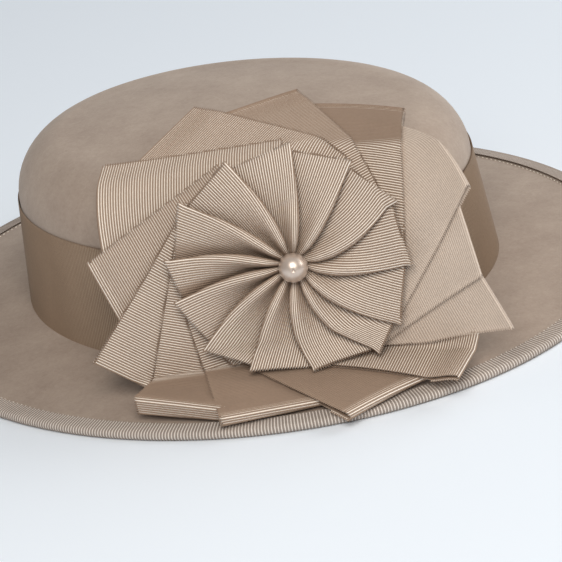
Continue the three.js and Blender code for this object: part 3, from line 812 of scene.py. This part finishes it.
def pleat_face(before, fold):
    """Outer face of the pleat that falls from its fold to the fold before it."""
    width = math.radians((before["turn"] - fold["turn"]) % 360)
    face_ribs = round(PLEAT_FULLNESS * width * ROSETTE_RADIUS / RIB_PITCH)
    ribs = rib_rows(ROLL_RIBS + face_ribs)
    walked = ((ribs - ROLL_RIBS) * RIB_PITCH)[:, None]

    def across(radius):
        """Distance of each rib from the fold's line, and how far it has turned round the fold."""
        gap = width * radius + bow_at(fold, radius) - bow_at(before, radius)
        w = walked * shape_at(radius, "fan")
        share = w / gap
        past = share - PACKED_FROM
        crowded = PACKED_FROM + PACKED_ROOM * np.tanh(past / PACKED_ROOM) + PACKED_SLOPE * past
        packed = np.where(past < 0, share, crowded)
        roll = shape_at(radius, "fold") * MM
        turned = np.clip(-w / roll, 0, math.pi)
        under = np.maximum(-w - math.pi * roll, 0)
        return np.where(w > 0, gap * packed, under - roll * np.sin(turned)), turned, gap

    edge = np.clip(across(ROSETTE_RADIUS)[0] / ROSETTE_RADIUS, 0, None)
    at_fold, at_end = fold["reach"] * ROSETTE_RADIUS, before["reach"] * ROSETTE_RADIUS * EDGE_STEP
    edge_radius = at_fold * at_end * math.sin(width)
    edge_radius = edge_radius / (at_end * np.sin(width - edge) + at_fold * np.sin(edge))
    edge_radius = np.where(edge > width, at_end, edge_radius)
    steps = np.linspace(0, 1, RADIAL_STEPS)[None, :]
    radius = GATHER_RADIUS + (edge_radius - GATHER_RADIUS) * steps
    x, turned, gap = across(radius)
    share = np.clip(x / gap, 0, 1.1)
    flat = shape_at(radius, "flat")
    fall = flat * (1 - share ** fold["fall"]) + (1 - flat) * np.exp(-(share / TUBE_WIDTH) ** 2)
    height = fold["height"] * shape_at(radius, "rise") * fall - shape_at(radius, "dive") * share ** 3
    height = height * MM - shape_at(radius, "fold") * MM * (1 - np.cos(turned))
    angle = math.radians(fold["turn"]) + (x - bow_at(fold, radius)) / radius
    s, t = radius * np.cos(angle), radius * np.sin(angle)
    sunk = smooth_step((share - SUNK_FROM) / SUNK_RUN)
    sunk = sunk * smooth_step((radius - SUNK_RADIUS) / SUNK_RADIUS_RUN)
    face = on_surface(ROSETTE_SURFACE, s, t, ROSETTE_HEIGHT + height)
    return face, ribs, fold.get("pressed_no_sheen", 0) * sunk


def stem_rings():
    """Rings of points of the gathered ribbon under the pleats, from the band out to them."""
    angle = np.linspace(0, 2 * math.pi, STEM_AROUND, endpoint=False)
    radius = STEM_RADIUS * (1 + STEM_WAVE * np.cos(len(FOLDS) * angle))
    s, t = radius * np.cos(angle), radius * np.sin(angle)
    top = on_surface(ROSETTE_SURFACE, s, t, np.full_like(angle, STEM_TOP))
    near, far = np.zeros_like(angle), np.full_like(angle, STEM_SEARCH)
    for _ in range(STEM_HALVINGS):
        middle = (near + far) / 2
        place = top - middle[:, None] * OUT
        offset = wall_offset(place[:, 2])
        x = place[:, 0] / (FRONT_BACK_RADIUS + offset)
        y = place[:, 1] / (SIDE_RADIUS + offset)
        outside = np.hypot(x, y) > 1
        near, far = np.where(outside, middle, near), np.where(outside, far, middle)
    depth = near - CLEARANCE
    return np.array([top - share * depth[:, None] * OUT for share in np.linspace(1, 0, 5)])


rings = stem_rings()
faces = ring_faces(len(rings), STEM_AROUND)
last = (len(rings) - 1) * STEM_AROUND
faces += [tuple(range(STEM_AROUND))[::-1], tuple(range(last, last + STEM_AROUND))]
stem = add_piece("rosette_stem", rings, faces, cockade_cloth)
stem.data.set_sharp_from_angle(angle=STEM_CREASE)
set_on_points(stem, "rib", np.ones(rings.shape[:2]))      # the crests' brown all over

pleats = []
for number, fold in enumerate(FOLDS):
    face, ribs, pressed_no_sheen = pleat_face(FOLDS[number - 1], fold)
    pleats.append(ribbon(f"pleat_{number}", face, ribs, SINGLE_RIBBON, cockade_cloth, RIB_HEIGHT, PICOT,
                         pressed_no_sheen=pressed_no_sheen, turned=True))
rosette = pleats[0]
with bpy.context.temp_override(active_object=rosette, selected_editable_objects=[*pleats, stem]):
    bpy.ops.object.join()
rosette.name = rosette.data.name = "pleated_rosette"
sew_on(rosette, "cockade_ribbon", "rosette")


# Pearl: one slightly uneven bead with a warm lustre, drilled through.
# It is sewn on the rosette's centre and hides the gathers.
PEARL_RADIUS = 5.6 * MM
PEARL_LIFT = ROSETTE_HEIGHT + PEARL_RADIUS
PEARL_AROUND = 48
PEARL_RINGS = 25
DRILLED = 0.09                            # radius of the drilled hole, against the pearl's
HOLE_BOTTOM = (0.6, 0.6, 0.9)             # the ring of points in the hole, against its rim
UNEVEN_ROUND = 0.012                      # departures from a sphere, round the bead
UNEVEN_LONG = 0.01                        # and along its drilled axis
PEARL_DARK = (0.52, 0.39, 0.30, 1)
PEARL_LIGHT = (0.74, 0.63, 0.55, 1)


def pearl_lustre():
    """Warm nacre: a softly clouded, half metallic body under a clear gloss."""
    nacre, tree, shader = new_material("pearl lustre", {
        "Roughness": 0.36,
        "Metallic": 0.55,
        "IOR": 1.7,
        "Coat Weight": 1,
        "Coat IOR": 1.9,
        "Coat Roughness": 0.3,
    })
    link = tree.links.new
    clouds = add_noise(tree, {"Scale": 240, "Detail": 3})
    colours = add_ramp(tree, PEARL_DARK, PEARL_LIGHT)
    link(clouds.outputs["Fac"], colours.inputs["Fac"])
    link(colours.outputs["Color"], shader.inputs["Base Color"])
    return nacre


def bead_points():
    """Rings of points of a bead of radius 1 round its drilled axis, from hole to hole."""
    turns = np.linspace(0, 2 * math.pi, PEARL_AROUND, endpoint=False)
    tips = np.linspace(DRILLED, math.pi - DRILLED, PEARL_RINGS)
    t, p = np.meshgrid(turns, tips)
    uneven = 1 + UNEVEN_ROUND * np.sin(3 * t + 1) * np.sin(p) + UNEVEN_LONG * np.cos(2 * p)
    ball = np.stack([np.cos(t) * np.sin(p), np.sin(t) * np.sin(p), np.cos(p)], -1) * uneven[..., None]
    hole = ball[[0, -1]] * HOLE_BOTTOM
    return np.concatenate([hole[:1], ball, hole[1:]])


middle = np.array(0.0)
place = Vector(on_surface(ROSETTE_SURFACE, middle, middle, np.array(PEARL_LIFT)))
axis = (place - Vector(on_surface(ROSETTE_SURFACE, middle, middle, middle))).normalized()
turn = np.array(axis.to_track_quat("Z", "Y").to_matrix())
bead = bead_points()
rings = bead.shape[0]
bead_world = bead.reshape(-1, 3) * PEARL_RADIUS @ turn.T + np.array(place)
faces = [face[::-1] for face in ring_faces(rings, PEARL_AROUND)]
last = (rings - 1) * PEARL_AROUND
faces += [tuple(range(PEARL_AROUND)), tuple(range(last, last + PEARL_AROUND))[::-1]]
pearl = add_piece("pearl_bead", bead_world, faces, pearl_lustre())
sew_on(pearl, "pearl", "pearl")


# Stitches: a row of small cream stitches of cotton through the felt, beside the binding's upper selvedge.
# They lie at even steps along a line round the brim, each a little different from the next.
STITCH_PITCH = 2.5 * MM
STITCH_LENGTH = 1.5 * MM
STITCH_THREAD = 0.55 * MM
STITCH_GAP = 1.3 * MM                     # from the binding's selvedge to the row
STITCH_SEED = 7
STITCH_RISE = 0.25                        # of the thread's thickness, from the felt to its middle
THREAD_COLOUR = (0.86, 0.78, 0.68, 1)
THREAD_SHADE = 0.75                       # its darker yarns, against that colour


def stitch_tree():
    """Lays a short rounded stitch at even steps along a line of edges."""
    tree, inputs = new_tree("running stitch", {
        "Pitch": "NodeSocketFloat",
        "Length": "NodeSocketFloat",
        "Thread": "NodeSocketFloat",
        "Seed": "NodeSocketInt",
        "Material": "NodeSocketMaterial",
    })
    nodes, link = tree.nodes, tree.links.new
    given = nodes.new("NodeGroupInput")
    made = nodes.new("NodeGroupOutput")
    line = nodes.new("GeometryNodeMeshToCurve")
    even = nodes.new("GeometryNodeResampleCurve")
    even.mode = "LENGTH"
    shape = add_node(tree, "GeometryNodeMeshUVSphere", {"Segments": 6, "Rings": 5, "Radius": 0.5})
    size = nodes.new("ShaderNodeCombineXYZ")
    vary = nodes.new("FunctionNodeRandomValue")
    vary.data_type = "FLOAT_VECTOR"
    vary.inputs["Min"].default_value = (0.7, 0.8, 0.8)
    vary.inputs["Max"].default_value = (1.1, 1.1, 1.1)
    grown = nodes.new("ShaderNodeVectorMath")
    grown.operation = "MULTIPLY"
    tangent = nodes.new("GeometryNodeInputTangent")
    aim = nodes.new("FunctionNodeAlignRotationToVector")
    aim.axis = "X"
    lay = nodes.new("GeometryNodeInstanceOnPoints")
    real = nodes.new("GeometryNodeRealizeInstances")
    paint = nodes.new("GeometryNodeSetMaterial")
    link(given.outputs["Geometry"], line.inputs["Mesh"])
    link(line.outputs["Curve"], even.inputs["Curve"])
    link(given.outputs["Pitch"], even.inputs["Length"])
    link(given.outputs["Length"], size.inputs["X"])
    link(given.outputs["Thread"], size.inputs["Y"])
    link(given.outputs["Thread"], size.inputs["Z"])
    link(given.outputs["Seed"], vary.inputs["Seed"])
    link(size.outputs["Vector"], grown.inputs[0])
    link(vary.outputs["Value"], grown.inputs[1])
    link(tangent.outputs["Tangent"], aim.inputs["Vector"])
    link(even.outputs["Curve"], lay.inputs["Points"])
    link(shape.outputs["Mesh"], lay.inputs["Instance"])
    link(aim.outputs["Rotation"], lay.inputs["Rotation"])
    link(grown.outputs["Vector"], lay.inputs["Scale"])
    link(lay.outputs["Instances"], real.inputs["Geometry"])
    link(real.outputs["Geometry"], paint.inputs["Geometry"])
    link(given.outputs["Material"], paint.inputs["Material"])
    link(paint.outputs["Geometry"], made.inputs["Geometry"])
    return tree, inputs


def cotton_thread():
    cotton, tree, shader = new_material("cotton thread", {"Roughness": 0.8})
    link = tree.links.new
    ply = add_noise(tree, {"Scale": 1500})
    shaded = [THREAD_SHADE * part for part in THREAD_COLOUR[:3]]
    colours = add_ramp(tree, (*shaded, 1), THREAD_COLOUR)
    link(ply.outputs["Fac"], colours.inputs["Fac"])
    link(colours.outputs["Color"], shader.inputs["Base Color"])
    return cotton


stitch_offset = BRIM_WIDTH_X - BINDING_WIDTH - STITCH_GAP
line_points = on_oval(angle, stitch_offset, brim_top(stitch_offset) + STITCH_THREAD * STITCH_RISE)
line_mesh = bpy.data.meshes.new("binding_stitches")
line_mesh.from_pydata(line_points.tolist(), [(i, (i + 1) % AROUND) for i in range(AROUND)], [])
stitches = bpy.data.objects.new("binding_stitches", line_mesh)
bpy.context.scene.collection.objects.link(stitches)
tree, inputs = stitch_tree()
thread = cotton_thread()
stitch_mesh = made_plain(stitches, tree, {
    inputs["Pitch"]: STITCH_PITCH,
    inputs["Length"]: STITCH_LENGTH,
    inputs["Thread"]: STITCH_THREAD,
    inputs["Seed"]: STITCH_SEED,
    inputs["Material"]: thread,
})
stitch_mesh.shade_smooth()
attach(stitches, "root")


# Table, light and camera: a plain pale surface, a soft key light from behind the viewer, weaker ones
# from the right and from behind at the right, and the hat seen from its front right, 24 degrees up.
CAMERA_EYE = (0.634144, -0.893322, 0.490682)
CAMERA_AZIMUTH = math.radians(35.01)
CAMERA_ELEVATION = math.radians(24.20)
CAMERA_ROLL = math.radians(11.21)
CAMERA_LENS = 186.68
SENSOR = 36
FLOOR_COLOUR = (0.87, 0.93, 1, 1)
FLOOR_HALF = 6                            # metres from the middle to each side
LIGHT_AIM = Vector((0, 0, 0.04))          # the middle of the crown
LIGHT_DISTANCE = 1.9


def plain_surface():
    finish = {"Base Color": FLOOR_COLOUR, "Roughness": 0.9}
    return new_material("pale surface", finish)[0]


corners = [(x * FLOOR_HALF, y * FLOOR_HALF, 0) for x, y in ((-1, -1), (1, -1), (1, 1), (-1, 1))]
floor = add_piece("floor", corners, [(0, 1, 2, 3)], plain_surface())

world = bpy.data.worlds.new("soft daylight")
world.use_nodes = True
sky = world.node_tree.nodes["Background"]
sky.inputs["Color"].default_value = (0.95, 0.97, 1.0, 1)
sky.inputs["Strength"].default_value = 0.3
bpy.context.scene.world = world

back = np.array([
    math.sin(CAMERA_AZIMUTH) * math.cos(CAMERA_ELEVATION),
    -math.cos(CAMERA_AZIMUTH) * math.cos(CAMERA_ELEVATION),
    math.sin(CAMERA_ELEVATION),
])
right = np.array([math.cos(CAMERA_AZIMUTH), math.sin(CAMERA_AZIMUTH), 0])
level_up = np.cross(back, right)
camera_right = math.cos(CAMERA_ROLL) * right - math.sin(CAMERA_ROLL) * level_up
camera_up = math.sin(CAMERA_ROLL) * right + math.cos(CAMERA_ROLL) * level_up


def add_light(name, toward, size, power, colour):
    """A square panel of soft light that looks at the crown from a direction."""
    data = bpy.data.lights.new(name, "AREA")
    data.shape = "SQUARE"
    data.size = size
    data.energy = power
    data.color = colour
    lamp = bpy.data.objects.new(name, data)
    direction = Vector(toward).normalized()
    lamp.location = LIGHT_AIM + direction * LIGHT_DISTANCE
    lamp.rotation_euler = direction.to_track_quat("Z", "Y").to_euler()
    bpy.context.scene.collection.objects.link(lamp)


add_light("key", back * 0.92 + UP * 0.42, size=1.1, power=24, colour=(1, 0.95, 0.885))
add_light("side", right * 0.95 + back * 0.1 + UP * 0.4, size=0.9, power=9.5, colour=(1, 0.97, 0.94))
add_light("window", right * 0.9 - back * 0.45 + UP * 0.9, size=1.4, power=9, colour=(0.88, 0.95, 1))

camera_data = bpy.data.cameras.new("camera")
camera_data.sensor_width = SENSOR
camera_data.lens = CAMERA_LENS
camera_data.clip_end = 50
camera = bpy.data.objects.new("camera", camera_data)
frame_axes = Matrix([[*row, 0] for row in np.stack([camera_right, camera_up, back], 1)] + [[0, 0, 0, 1]])
camera.matrix_world = Matrix.Translation(CAMERA_EYE) @ frame_axes
bpy.context.scene.collection.objects.link(camera)
bpy.context.scene.camera = camera
bpy.context.scene.view_settings.view_transform = "Standard"
